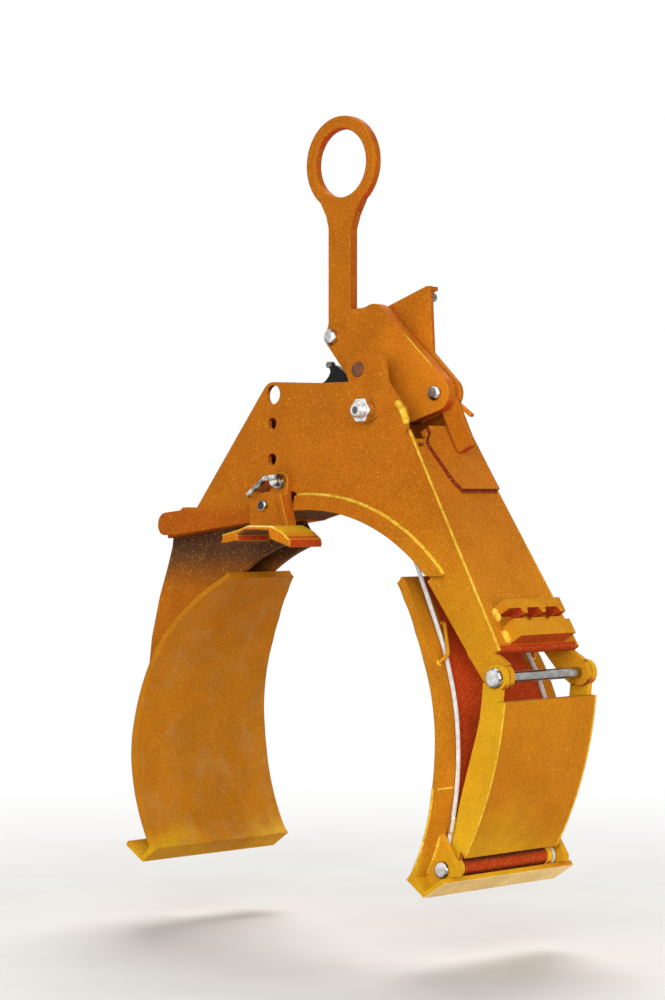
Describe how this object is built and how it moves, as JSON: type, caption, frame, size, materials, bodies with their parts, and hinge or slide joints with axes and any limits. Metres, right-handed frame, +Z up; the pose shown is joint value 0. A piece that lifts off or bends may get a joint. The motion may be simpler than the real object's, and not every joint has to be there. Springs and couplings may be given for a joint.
{
  "type": "round grab",
  "caption": "Orange steel pipe grab: lifting eye on a lever, arched frame with a fixed jaw, rope-drawn hinged claw with a swivelling grip shoe, support foot and locking pin.",
  "frame": {"origin": "centre of the lifting eye", "axes": "+Z up, +Y along all pins from the front plate to the rear plate, +X from the fixed jaw to the hinged claw"},
  "size_m": [0.725, 0.262, 1.032],
  "materials": {
    "orange_paint": "worn semi-gloss orange paint on steel",
    "zinc_steel": "zinc plated pins and bolts",
    "black_paint": "dull black paint on steel",
    "grey_knob": "dull grey",
    "rope_wire": "pale stranded wire rope"
  },
  "bodies": {
    "lever": {"lever_plate": "orange_paint", "lever_rear_plate": "orange_paint", "lever_spacer": "orange_paint", "lever_bolt": "zinc_steel", "pawl_pin": "zinc_steel", "trigger_lip": "orange_paint", "trigger_pin": "zinc_steel", "trip_tab": "orange_paint", "rope_pin": "zinc_steel"},
    "frame": {"frame_plate_front": "orange_paint", "frame_plate_rear": "orange_paint", "arch_rim_front": "orange_paint", "arch_rim_rear": "orange_paint", "arch_strip": "orange_paint", "left_floor": "orange_paint", "left_web": "orange_paint", "arm_cover": "orange_paint", "cover_flap": "orange_paint", "step_bar_upper": "orange_paint", "step_bar_lower": "orange_paint", "pivot_pin": "zinc_steel", "main_bolt": "zinc_steel", "main_nut": "zinc_steel", "left_rib_front": "orange_paint", "left_rib_rear": "orange_paint", "left_jaw_plate": "orange_paint", "left_jaw_cover": "orange_paint", "foot_saddle": "orange_paint", "foot_upright": "orange_paint", "foot_bolt": "zinc_steel", "rope_front": "rope_wire", "rope_rear": "rope_wire"},
    "claw": {"claw_cheek_front": "orange_paint", "claw_cheek_rear": "orange_paint", "claw_cover": "orange_paint", "claw_pin": "zinc_steel", "jaw_pin": "zinc_steel", "spacer_tube": "orange_paint"},
    "shoe": {"shoe_plate": "orange_paint", "shoe_lug_front": "orange_paint", "shoe_lug_rear": "orange_paint", "rope_keeper_front": "orange_paint", "rope_keeper_rear": "orange_paint"},
    "pawl": {"pawl": "orange_paint"},
    "catch": {"catch_lever": "black_paint", "catch_knob": "grey_knob"},
    "lock_pin": {"lock_pin": "zinc_steel"}
  },
  "joints": [
    {"name": "lever_hinge", "type": "hinge", "parent": "lever", "child": "frame", "pos_m": [0.075, 0, -0.286], "axis": [0, 1, 0], "range_deg": [0, 24], "deforming": ["rope_front", "rope_rear"]},
    {"name": "claw_hinge", "type": "hinge", "parent": "frame", "child": "claw", "pos_m": [0.35, 0, -0.685], "axis": [0, -1, 0], "range_deg": [0, 24], "deforming": ["rope_front", "rope_rear"]},
    {"name": "shoe_swivel", "type": "hinge", "parent": "claw", "child": "shoe", "pos_m": [0.279, 0, -0.931], "axis": [0, 1, 0], "range_deg": [0, 3], "deforming": ["rope_front", "rope_rear"]},
    {"name": "pawl_hinge", "type": "hinge", "parent": "lever", "child": "pawl", "pos_m": [0.1736, 0, -0.3185], "axis": [0, -1, 0], "range_deg": [0, 25]},
    {"name": "catch_hinge", "type": "hinge", "parent": "frame", "child": "catch", "pos_m": [0.099, 0, -0.3413], "axis": [0, 1, 0], "range_deg": [0, 4]},
    {"name": "lock_pin_pull", "type": "slide", "parent": "frame", "child": "lock_pin", "axis": [0, -1, 0], "range_m": [0, 0.045]}
  ],
  "couplings": [
    {"joint": "claw_hinge", "follows": "lever_hinge", "ratio": 1}
  ]
}
